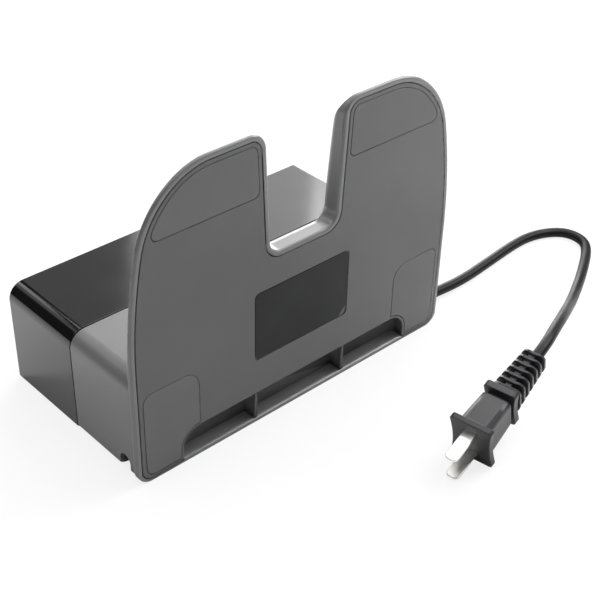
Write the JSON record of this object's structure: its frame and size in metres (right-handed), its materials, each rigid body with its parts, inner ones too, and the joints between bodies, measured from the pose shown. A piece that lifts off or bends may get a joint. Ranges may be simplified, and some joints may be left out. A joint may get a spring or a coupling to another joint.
{
  "type": "robot vacuum charging dock",
  "caption": "Charging dock for a robot vacuum, tipped on its back: notched ramp plate, two-part tower, sprung contacts, sealed power board and a mains cord with a two-blade plug.",
  "frame": {"origin": "middle of the dock's outline, on the floor that its back wall rests on; the cord and plug are not counted", "axes": "+X across the dock, +Y from its underside up through the tower (its height in use), +Z from its back wall to the tips of the ramp; turned 90 degrees about X it stands on its foot pads"},
  "size_m": [0.3064, 0.1918, 0.1465],
  "materials": {
    "shell_grey": "fine satin",
    "cover_black": "polished",
    "plate_grey": "fine matt",
    "pad_rubber": "matt",
    "label_film": "matt film",
    "contact_nickel": "satin nickel",
    "spring_steel": "bright",
    "screw_steel": "zinc",
    "board_laminate": "green solder mask",
    "ferrite": "sintered",
    "winding_tape": "taped",
    "capacitor_sleeve": "shrink sleeve",
    "filter_yellow": "moulded",
    "fuse_glass": "clear with metal caps",
    "clip_brass": "rolled",
    "terminal_green": "moulded",
    "lamp_clear": "clear epoxy",
    "baffle_black": "matt",
    "guide_white": "natural",
    "lead_insulation": "smooth",
    "cord_black": "satin",
    "plug_black": "satin",
    "blade_metal": "nickel plated"
  },
  "bodies": {
    "dock": {"base_shell": "shell_grey", "tower_cover": "cover_black", "bottom_cover": "plate_grey", "rating_label": "label_film", "front_pad_left": "pad_rubber", "front_pad_right": "pad_rubber", "back_pad_left": "pad_rubber", "back_pad_right": "pad_rubber", "contact_guide_left": "guide_white", "contact_guide_right": "guide_white", "contact_spring_left": "spring_steel", "contact_spring_right": "spring_steel", "cover_screws": "screw_steel", "tower_screws": "screw_steel", "board_screws": "screw_steel", "beacon_screws": "screw_steel", "clamp_screws": "screw_steel", "mains_board": "board_laminate", "transformer_core": "ferrite", "transformer_winding": "winding_tape", "smoothing_capacitor": "capacitor_sleeve", "filter_capacitor": "filter_yellow", "mains_fuse": "fuse_glass", "fuse_clips": "clip_brass", "mains_terminal": "terminal_green", "output_terminal": "terminal_green", "beacon_board": "board_laminate", "beacon_emitters": "lamp_clear", "beacon_baffle": "baffle_black", "indicator_lamp": "lamp_clear", "power_light": "lamp_clear", "cord_clamp": "baffle_black", "mains_leads": "lead_insulation", "contact_leads": "lead_insulation", "beacon_lead": "lead_insulation", "mains_cord": "cord_black", "plug_moulding": "plug_black", "plug_blade_upper": "blade_metal", "plug_blade_lower": "blade_metal"},
    "contact_left": {"contact_left": "contact_nickel"},
    "contact_right": {"contact_right": "contact_nickel"}
  },
  "joints": [
    {"name": "contact_left_press", "type": "slide", "parent": "dock", "child": "contact_left", "axis": [0, 1, 0], "range_m": [-0.002, 0], "stiffness_N_per_m": 300, "springref_m": 0.002, "deforming": ["contact_spring_left"]},
    {"name": "contact_right_press", "type": "slide", "parent": "dock", "child": "contact_right", "axis": [0, 1, 0], "range_m": [-0.002, 0], "stiffness_N_per_m": 300, "springref_m": 0.002, "deforming": ["contact_spring_right"]}
  ]
}
